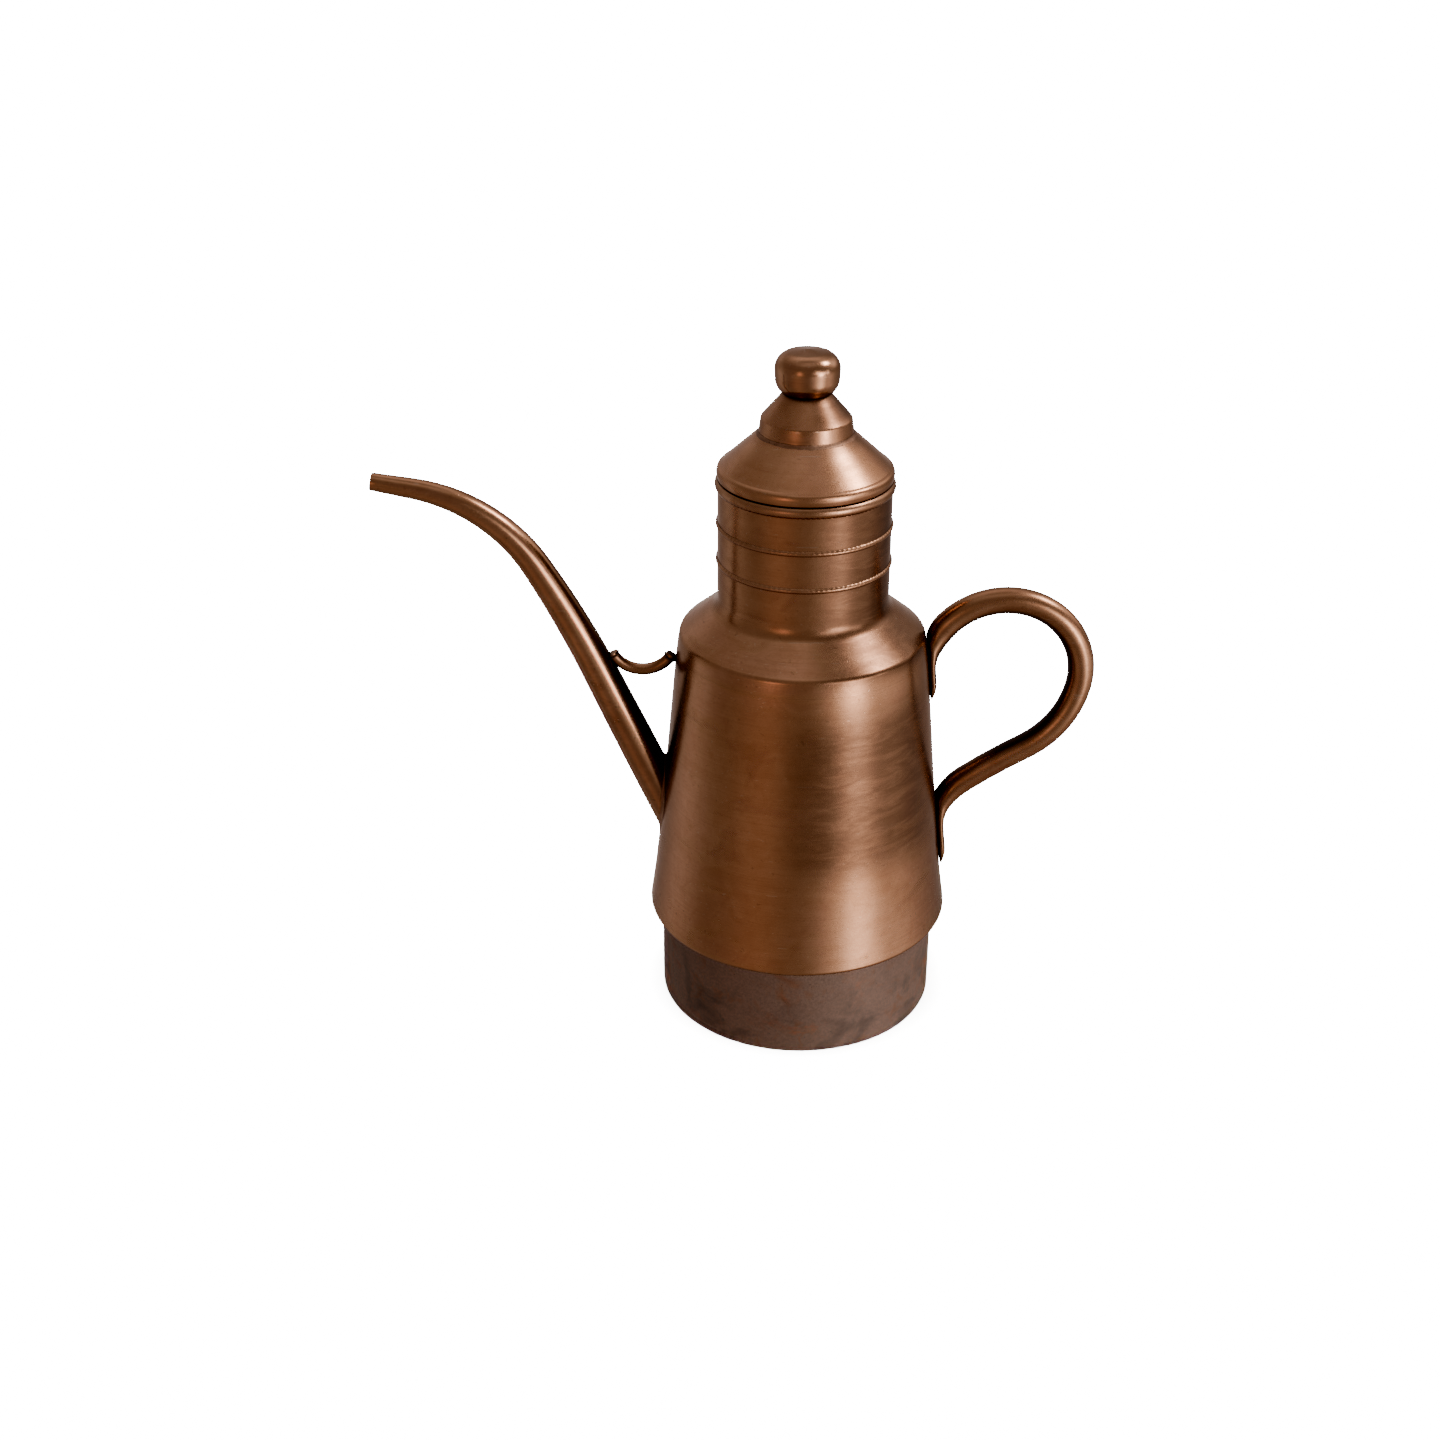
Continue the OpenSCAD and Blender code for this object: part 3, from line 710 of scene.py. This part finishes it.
class Graph:
    """Makes the nodes of one material. A value may be a number, a colour or another node's output."""

    def __init__(self, tree):
        self.tree = tree
        tree.nodes.clear()

    def add(self, kind, settings=None, **values):
        node = self.tree.nodes.new(kind)
        for name, value in (settings or {}).items():
            setattr(node, name, value)
        for name, value in values.items():
            socket = self.socket(node.inputs, name)
            if isinstance(value, bpy.types.NodeSocket):
                self.tree.links.new(value, socket)
            else:
                socket.default_value = value
        return node

    def socket(self, sockets, name):
        if name.startswith("i_"):
            return sockets[int(name[2:])]
        return sockets[name.replace("_", " ")]

    def math(self, operation, a, b=0.0, clamp=False):
        return self.add("ShaderNodeMath", {"operation": operation, "use_clamp": clamp},
                        i_0=a, i_1=b).outputs[0]

    def noise(self, where, scale, detail=3.0, roughness=0.5, distortion=0.0):
        return self.add("ShaderNodeTexNoise", Vector=where, Scale=scale, Detail=detail,
                        Roughness=roughness, Distortion=distortion).outputs["Fac"]

    def stretch(self, where, scale, turn=(0, 0, 0), offset=(0, 0, 0)):
        return self.add("ShaderNodeMapping", Vector=where, Scale=scale, Rotation=turn,
                        Location=offset).outputs[0]

    def band(self, value, low_end, high_end, low_out=0.0, high_out=1.0):
        """Value from low_end to high_end, turned smoothly to low_out to high_out."""
        return self.add("ShaderNodeMapRange", {"interpolation_type": "SMOOTHSTEP"}, Value=value,
                        i_1=low_end, i_2=high_end, i_3=low_out, i_4=high_out).outputs[0]

    def mix(self, amount, a, b, how="MIX"):
        node = self.tree.nodes.new("ShaderNodeMix")
        node.data_type = "RGBA"
        node.blend_type = how
        node.clamp_factor = True
        for socket, value in ((node.inputs[0], amount), (node.inputs[6], a), (node.inputs[7], b)):
            if isinstance(value, bpy.types.NodeSocket):
                self.tree.links.new(value, socket)
            else:
                socket.default_value = value
        return node.outputs[2]


def colour(r, g, b):
    return (r, g, b, 1.0)


def shade_towards(g, at, point, amount, base):
    """Paints the side that faces a point near-black, as painted shade between parts."""
    way = g.add("ShaderNodeVectorMath", {"operation": "SUBTRACT"}, i_0=point, i_1=at).outputs[0]
    way = g.add("ShaderNodeVectorMath", {"operation": "NORMALIZE"}, i_0=way).outputs[0]
    side = g.add("ShaderNodeTexCoord").outputs["Normal"]
    facing = g.add("ShaderNodeVectorMath", {"operation": "DOT_PRODUCT"}, i_0=side, i_1=way).outputs["Value"]
    return g.mix(g.band(facing, 0.15, 0.8, 0.0, amount), base, colour(0.035, 0.018, 0.012))


def around_axis(g, mm, angle_at, angle_width, z_at, z_width, z_fade):
    """1 in a patch of a round piece's wall, fading to 0 outside.

    Angle 0 faces -Y and 90 faces +X; z_at and the widths are millimetres and degrees.
    """
    x, y, z = g.add("ShaderNodeSeparateXYZ", Vector=mm).outputs
    angle = g.math("MULTIPLY", g.math("ARCTAN2", x, g.math("MULTIPLY", y, -1.0)), 180 / math.pi)
    off = g.math("ABSOLUTE", g.math("SUBTRACT", angle, angle_at))
    high = g.math("ABSOLUTE", g.math("SUBTRACT", z, z_at))
    return g.math("MULTIPLY", g.band(off, angle_width * 0.6, angle_width * 1.3, 1.0, 0.0),
                  g.band(high, z_width, z_width + z_fade, 1.0, 0.0))


def copper(name, bright, dark, rough=0.24, streaks=0.5, corner_shade=0.6, spots=0.3, patina=None,
           shaded_side=None, side_shade=0.95, handled=()):
    """Aged copper: uneven tone, fine streaks round the piece, smudges, scratches and spots, with painted
    shade in its corners and between parts.

    Handled holds around_axis patches that are smeared dull; patina is a function that changes the
    finish at the end; the side that faces the shaded-side point is painted near-black as shade.
    """
    material = bpy.data.materials.new(name)
    material.use_nodes = True
    g = Graph(material.node_tree)
    at = g.add("ShaderNodeTexCoord").outputs["Object"]
    mm = g.stretch(at, (1000, 1000, 1000))
    wide = g.noise(mm, 0.018, 2.0, 0.5, 0.4)
    blotch = g.noise(mm, 0.11, 4.0, 0.62, 0.8)
    fine = g.noise(mm, 0.9, 5.0, 0.65)
    streak = g.noise(g.stretch(mm, (0.035, 0.035, 1.5)), 1.0, 4.0, 0.6)
    long_streak = g.noise(g.stretch(mm, (0.012, 0.012, 0.35), offset=(3, 1, 8)), 1.0, 3.0, 0.55)
    smudge = g.noise(g.stretch(mm, (0.03, 0.03, 0.06), offset=(9, 2, 4)), 1.0, 4.0, 0.6, 1.2)
    mark_a = g.noise(g.stretch(mm, (0.02, 0.9, 0.9), (0.3, 0.5, 0.9)), 1.0, 1.0, 0.4)
    mark_b = g.noise(g.stretch(mm, (1.1, 0.025, 1.1), (0.9, 0.2, 0.4), (5, 5, 5)), 1.0, 1.0, 0.4)
    scratch = g.math("MAXIMUM", g.band(mark_a, 0.735, 0.76), g.band(mark_b, 0.745, 0.77))
    spot = g.band(g.noise(mm, 0.42, 3.0, 0.7, 0.3), 0.63, 0.72)

    # colour
    age = g.math("ADD", g.math("MULTIPLY", wide, 0.6), g.math("MULTIPLY", blotch, 0.55))
    age = g.math("ADD", age, g.math("MULTIPLY", g.math("SUBTRACT", long_streak, 0.5), 0.5 * streaks))
    age = g.band(age, 0.295, 0.855)
    base = g.mix(age, colour(*dark), colour(*bright))
    base = g.mix(g.math("MULTIPLY", g.band(streak, 0.45, 0.75), 0.3 * streaks), base,
                 colour(*[c * 0.55 for c in dark]))
    base = g.mix(g.band(smudge, 0.52, 0.72, 0.0, 0.35), base, colour(*[c * 0.6 for c in dark]))
    base = g.mix(g.math("MULTIPLY", spot, spots), base, colour(0.10, 0.045, 0.026))
    base = g.mix(g.math("MULTIPLY", g.band(fine, 0.5, 0.72), 0.22), base, colour(*[c * 0.7 for c in dark]))
    base = g.mix(g.math("MULTIPLY", scratch, 0.3), base, colour(0.95, 0.66, 0.48))
    # painted shade: darker in the corners, patchy like grime, and near-black where the piece faces another
    # one
    corner = g.add("ShaderNodeAmbientOcclusion", {"samples": 6, "only_local": False}, Distance=0.004)
    shade = g.band(corner.outputs["AO"], 0.35, 0.95, 1.0, 0.0)
    shade = g.math("MULTIPLY", shade, g.band(blotch, 0.3, 0.6, 0.65, 1.0))
    base = g.mix(g.math("MULTIPLY", shade, corner_shade), base, colour(0.035, 0.02, 0.014))
    # painted shade between parts: dark wherever another piece is near
    between_parts_shade = g.add("ShaderNodeAmbientOcclusion", {"samples": 6}, Distance=0.035)
    base = g.mix(g.math("MULTIPLY", g.band(between_parts_shade.outputs["AO"], 0.3, 0.9, 1.0, 0.0), 0.88), base,
                 colour(0.05, 0.028, 0.02))

    # painted shade: the side facing the given point is painted near-black
    if shaded_side:
        base = shade_towards(g, at, shaded_side, side_shade, base)
    dull = 0.0
    for place in handled:
        dull = g.math("MAXIMUM", dull, around_axis(g, mm, *place))
    if handled:
        smear = g.noise(g.stretch(mm, (0.05, 0.05, 0.22), (0.2, 0.0, 0.0), (1, 7, 3)), 1.0, 5.0, 0.65, 0.8)
        dull = g.math("MULTIPLY", dull, g.band(smear, 0.30, 0.62, 0.72, 1.0))
        base = g.mix(g.math("MULTIPLY", dull, 0.88), base, colour(0.20, 0.092, 0.052))
    # gloss and relief
    rough_at = g.math("ADD", g.math("MULTIPLY", g.math("SUBTRACT", smudge, 0.5), 0.2), rough)
    rough_at = g.math("ADD", rough_at, g.math("MULTIPLY", dull, 0.05))
    rough_at = g.math("ADD", rough_at, g.math("MULTIPLY", g.math("SUBTRACT", fine, 0.5), 0.12))
    rough_at = g.math("ADD", rough_at, g.math("MULTIPLY", g.math("SUBTRACT", streak, 0.5), 0.14 * streaks))
    rough_at = g.math("ADD", rough_at, g.math("MULTIPLY", shade, 0.25 * corner_shade), clamp=True)

    height = g.math("ADD", g.math("MULTIPLY", streak, 0.5 * streaks), g.math("MULTIPLY", fine, 0.35))
    height = g.math("SUBTRACT", height, g.math("MULTIPLY", scratch, 0.3))
    height = g.math("ADD", height, g.math("MULTIPLY", blotch, 1.1))
    if patina:
        metal_at, base, rough_at, height = patina(g, mm, base, rough_at, height, blotch, fine)
    else:
        metal_at = 1.0
    uneven = g.add("ShaderNodeBump", Height=height, Strength=0.18, Distance=0.0002)
    shader = g.add("ShaderNodeBsdfPrincipled", Base_Color=base, Metallic=metal_at, Roughness=rough_at,
                   Normal=uneven.outputs[0])
    g.add("ShaderNodeOutputMaterial", Surface=shader.outputs[0])
    return material


def fire_patina(g, mm, base, rough_at, height, blotch, fine):
    """Heat scale: dull brown clouds, dark smoky blotches and a few patches of bare orange metal."""
    cloud = g.noise(g.stretch(mm, (0.035, 0.035, 0.05), offset=(2, 6, 1)), 1.0, 4.0, 0.55, 0.6)
    scale = g.band(cloud, 0.24, 0.50)
    crust = g.mix(g.band(fine, 0.3, 0.7), colour(0.30, 0.19, 0.145), colour(0.37, 0.235, 0.18))
    crust = g.mix(g.band(blotch, 0.52, 0.78), crust, colour(0.33, 0.175, 0.11))
    base = g.mix(g.math("MULTIPLY", scale, 0.92), base, crust)
    smoke = g.noise(g.stretch(mm, (0.06, 0.06, 0.075), offset=(5, 1, 7)), 1.0, 3.0, 0.55, 0.5)
    low_down = g.band(g.add("ShaderNodeSeparateXYZ", Vector=mm).outputs["Z"], 10.0, 42.0, 1.0, 0.25)
    smoke = g.math("MULTIPLY", g.band(smoke, 0.42, 0.74), low_down)
    base = g.mix(g.math("MULTIPLY", smoke, 0.54), base, colour(0.085, 0.058, 0.048))
    pits = g.band(g.noise(mm, 0.8, 3.0, 0.7), 0.66, 0.74)
    base = g.mix(g.math("MULTIPLY", pits, 0.5), base, colour(0.045, 0.03, 0.024))
    metal = g.math("SUBTRACT", 1.0, g.math("MULTIPLY", scale, 0.45))
    rough_at = g.math("ADD", rough_at, g.math("MULTIPLY", scale, 0.08), clamp=True)
    height = g.math("ADD", height, g.math("MULTIPLY", scale, 0.5))
    height = g.math("SUBTRACT", height, g.math("MULTIPLY", pits, 0.6))
    return metal, base, rough_at, height


# Patches are (angle, half width in degrees, height, half height, fade)
BRIGHT = (0.90, 0.445, 0.25)
DARK = (0.70, 0.315, 0.16)
body_copper = copper("aged_copper_body", BRIGHT, DARK, handled=(
    (32, 36, 121, 24, 22), (172, 40, 110, 24, 28), (-118, 26, 140, 14, 20)))
neck_copper = copper("aged_copper_neck", (0.86, 0.425, 0.24), (0.66, 0.30, 0.155), spots=0.25, handled=(
    (42, 36, 210, 38, 5), (168, 46, 212, 36, 7)))
lid_copper = copper("aged_copper_lid", BRIGHT, DARK, rough=0.26, handled=(
    (50, 34, 264, 5, 5),))
cap_copper = copper("aged_copper_cap", (0.80, 0.39, 0.22), (0.58, 0.26, 0.135), rough=0.29, streaks=0.3,
                    handled=((58, 44, 274, 6, 3), (-150, 50, 274, 6, 3)))
# the spout's side that faces the body is painted near-black as shade
spout_copper = copper("aged_copper_spout", (0.85, 0.42, 0.235), (0.62, 0.28, 0.145),
                      streaks=0.3, rough=0.22,
                      shaded_side=(0.12, 0.0, 0.10), side_shade=0.75)
trim_copper = copper("trim_copper", (0.86, 0.45, 0.265), (0.60, 0.28, 0.145), rough=0.28, corner_shade=0.85)
# the side facing a point inside the handle's loop is painted near-black as shade: the handle's inner side
# and the brace's side towards the pot
handle_copper = copper("handle_copper", (0.80, 0.40, 0.225), (0.56, 0.25, 0.13), rough=0.27, streaks=0.2,
                       shaded_side=(0.086, 0.0, 0.135))
knob_copper = copper("knob_copper", (0.87, 0.45, 0.26), (0.66, 0.30, 0.16), rough=0.17)
inner_copper = copper("inner_copper", (0.66, 0.35, 0.21), (0.33, 0.15, 0.085), rough=0.48, spots=0.6)
solder_copper = copper("solder_copper", (0.66, 0.36, 0.23), (0.30, 0.14, 0.085), rough=0.42, streaks=0.1,
                       spots=0.6)
foot_patina = copper("foot_patina", (0.62, 0.28, 0.15), (0.30, 0.13, 0.075), rough=0.48, spots=0.7,
                     patina=fire_patina)


def dress(piece, material, body_name, slot, *nodes):
    """Gives a piece its finish, hangs it on the body it rides on, and hides the CAD nodes it stands for."""
    piece.data.materials.clear()
    piece.data.materials.append(material)
    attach(piece, body_name)
    if nodes:
        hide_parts(*nodes)


dress(foot, foot_patina, "pot", "foot_patina", "foot_ring")
dress(body, body_copper, "pot", "aged_copper", "body_wall")
dress(neck, neck_copper, "pot", "aged_copper", "shoulder_neck")
dress(beads[0], trim_copper, "pot", "trim_copper", "neck_band_lower")
dress(beads[1], trim_copper, "pot", "trim_copper", "neck_band_upper")
dress(rim, trim_copper, "pot", "trim_copper", "rim_band")
dress(pipe, spout_copper, "pot", "aged_copper", "spout_tube")
dress(solder, solder_copper, "pot", "trim_copper")
dress(brace, handle_copper, "pot", "trim_copper", "spout_brace")
dress(brace_solder_pipe, solder_copper, "pot", "trim_copper")
dress(brace_solder_wall, solder_copper, "pot", "trim_copper")
dress(handle, handle_copper, "pot", "handle_copper", "handle")
dress(lid, lid_copper, "lid", "aged_copper", "lid_cone")
dress(collar, inner_copper, "lid", "inner_copper", "lid_collar")
dress(cap, cap_copper, "lid", "aged_copper", "lid_cap")
dress(cap_solder, solder_copper, "lid", "trim_copper")
dress(knob, knob_copper, "lid", "knob_copper", "knob")
for node in ("floor_pan", "spout_strainer", "knob_stem", "knob_washer"):
    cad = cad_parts[node]
    cad.data.materials.clear()
    cad.data.materials.append(inner_copper)

# ---- Floor, light and camera ------------------------------------------------------------------

scene = bpy.context.scene


def floor_material():
    material = bpy.data.materials.new("studio_floor")
    material.use_nodes = True
    g = Graph(material.node_tree)
    at = g.add("ShaderNodeTexCoord").outputs["Object"]
    distance = g.add("ShaderNodeVectorMath", {"operation": "LENGTH"}, i_0=at).outputs["Value"]
    fade = g.band(distance, 0.16, 0.55)
    paint = g.add("ShaderNodeBsdfDiffuse", Color=colour(0.9, 0.89, 0.875))
    glow = g.add("ShaderNodeEmission", Color=colour(1, 1, 1), Strength=60.0)
    both = g.add("ShaderNodeMixShader", i_0=fade, i_1=paint.outputs[0], i_2=glow.outputs[0])
    g.add("ShaderNodeOutputMaterial", Surface=both.outputs[0])
    return material


def disc(name, radius, z, material):
    mesh = bpy.data.meshes.new(name)
    sides = 128
    rings = [(radius * math.cos(2 * math.pi * k / sides), radius * math.sin(2 * math.pi * k / sides), z)
             for k in range(sides)]
    mesh.from_pydata(rings, [], [tuple(range(sides))])
    plate = bpy.data.objects.new(name, mesh)
    mesh.materials.append(material)
    scene.collection.objects.link(plate)
    return plate


floor = disc("floor", 7.0, -0.0002, floor_material())
floor.visible_glossy = False
floor.visible_diffuse = False
floor.visible_shadow = False


def lobe(g, az, el, az_at, el_at, az_width, el_width, strength):
    """A soft patch of light on the sky, az 0 towards the viewer and + to the right."""
    away = g.add("ShaderNodeMath", {"operation": "WRAP"}, i_0=g.math("SUBTRACT", az, az_at), i_1=180.0,
                 i_2=-180.0).outputs[0]
    side = g.math("DIVIDE", away, az_width)
    rise = g.math("DIVIDE", g.math("SUBTRACT", el, el_at), el_width)
    far = g.math("ADD", g.math("MULTIPLY", side, side), g.math("MULTIPLY", rise, rise))
    fall = g.math("EXPONENT", g.math("MULTIPLY", far, -1.0))
    return g.math("MULTIPLY", fall, strength)


world = bpy.data.worlds.new("studio")
world.use_nodes = True
scene.world = world
g = Graph(world.node_tree)
way = g.add("ShaderNodeTexCoord").outputs["Generated"]
parts = g.add("ShaderNodeSeparateXYZ", Vector=way).outputs
right, forward, up = parts
az = g.math("MULTIPLY", g.math("ARCTAN2", right, g.math("MULTIPLY", forward, -1.0)), 180 / math.pi)
el = g.math("MULTIPLY", g.math("ARCSINE", up), 180 / math.pi)


def sky_light(specs, ground):
    total = ground
    for spec in specs:
        total = g.math("ADD", total, lobe(g, az, el, *spec))
    return total


# az, el, width across, width up, strength
studio_light = sky_light((
    (97, 47, 10, 7, 36.0),
    (100, 46, 26, 14, 0.9),
    (116, 22, 22, 13, 1.2),
    (45, 0, 7, 9, 14.0),
    (47, -20, 13, 14, 2.9),
    (26, -20, 14, 12, 0.45),
    (43, -6.5, 5, 4, 8.0),
    (33, 10, 8, 9, 4.0),
    (57, 3, 6, 5, 5.0),
    (71, 3, 4.5, 9, 4.0),
    (80, -18, 20, 14, 0.75),
    (112, -24, 20, 16, 0.15),
    (-112, -18, 22, 26, 0.30),
    (-148, 18, 24, 16, 0.30),
    (0, 72, 90, 16, 0.40),
    (180, 62, 60, 20, 0.75),
    (180, -20, 20, 26, 0.9)), 0.145)
warm_light = sky_light((
    (-36, -26, 20, 34, 0.15),
    (-28, 4, 8, 10, 1.3),
    (75, -50, 50, 20, 0.15)), 0.055)
# the copper's reflections in itself are dim; a ray that ends on the sky counts one step more
path = g.add("ShaderNodeLightPath").outputs
ended = g.math("MAXIMUM", path["Is Glossy Ray"], path["Is Diffuse Ray"])
first_bounce = g.math("LESS_THAN", g.math("SUBTRACT", path["Ray Depth"], ended), 1.5)
bounce_light = g.math("ADD", 0.3, g.math("MULTIPLY", first_bounce, 0.7))
studio_light = g.math("MULTIPLY", studio_light, bounce_light)
warm_light = g.math("MULTIPLY", warm_light, bounce_light)
white_sky = g.add("ShaderNodeBackground", Strength=studio_light, Color=colour(1.0, 0.985, 0.97))
warm_sky = g.add("ShaderNodeBackground", Strength=warm_light, Color=colour(1.0, 0.57, 0.38))
sky = g.add("ShaderNodeAddShader", i_0=white_sky.outputs[0], i_1=warm_sky.outputs[0])
seen = g.add("ShaderNodeBackground", Strength=60.0, Color=colour(1, 1, 1))
ray = g.add("ShaderNodeLightPath").outputs["Is Camera Ray"]
both = g.add("ShaderNodeMixShader", i_0=ray, i_1=sky.outputs[0], i_2=seen.outputs[0])
g.add("ShaderNodeOutputWorld", Surface=both.outputs[0])

floor_light = bpy.data.lights.new("floor_lamp", "AREA")
floor_light.shape = "DISK"
floor_light.size = 1.6
floor_light.energy = 1800
floor_lamp = bpy.data.objects.new("floor_lamp", floor_light)
floor_lamp.location = (0, 0, 1.6)
scene.collection.objects.link(floor_lamp)
only_floor = bpy.data.collections.new("lit_floor")
only_floor.objects.link(floor)
floor_lamp.light_linking.receiver_collection = only_floor
floor_lamp.visible_glossy = False
floor_lamp.visible_camera = False

camera_data = bpy.data.cameras.new("camera")
camera_data.lens = 50
camera_data.sensor_width = 36
camera = bpy.data.objects.new("camera", camera_data)
camera.location = (-0.03439, -0.76103, 0.52187)
camera.rotation_euler = (math.radians(62.732), 0, 0)
scene.collection.objects.link(camera)
scene.camera = camera

scene.view_settings.view_transform = "AgX"
scene.view_settings.look = "AgX - Punchy"
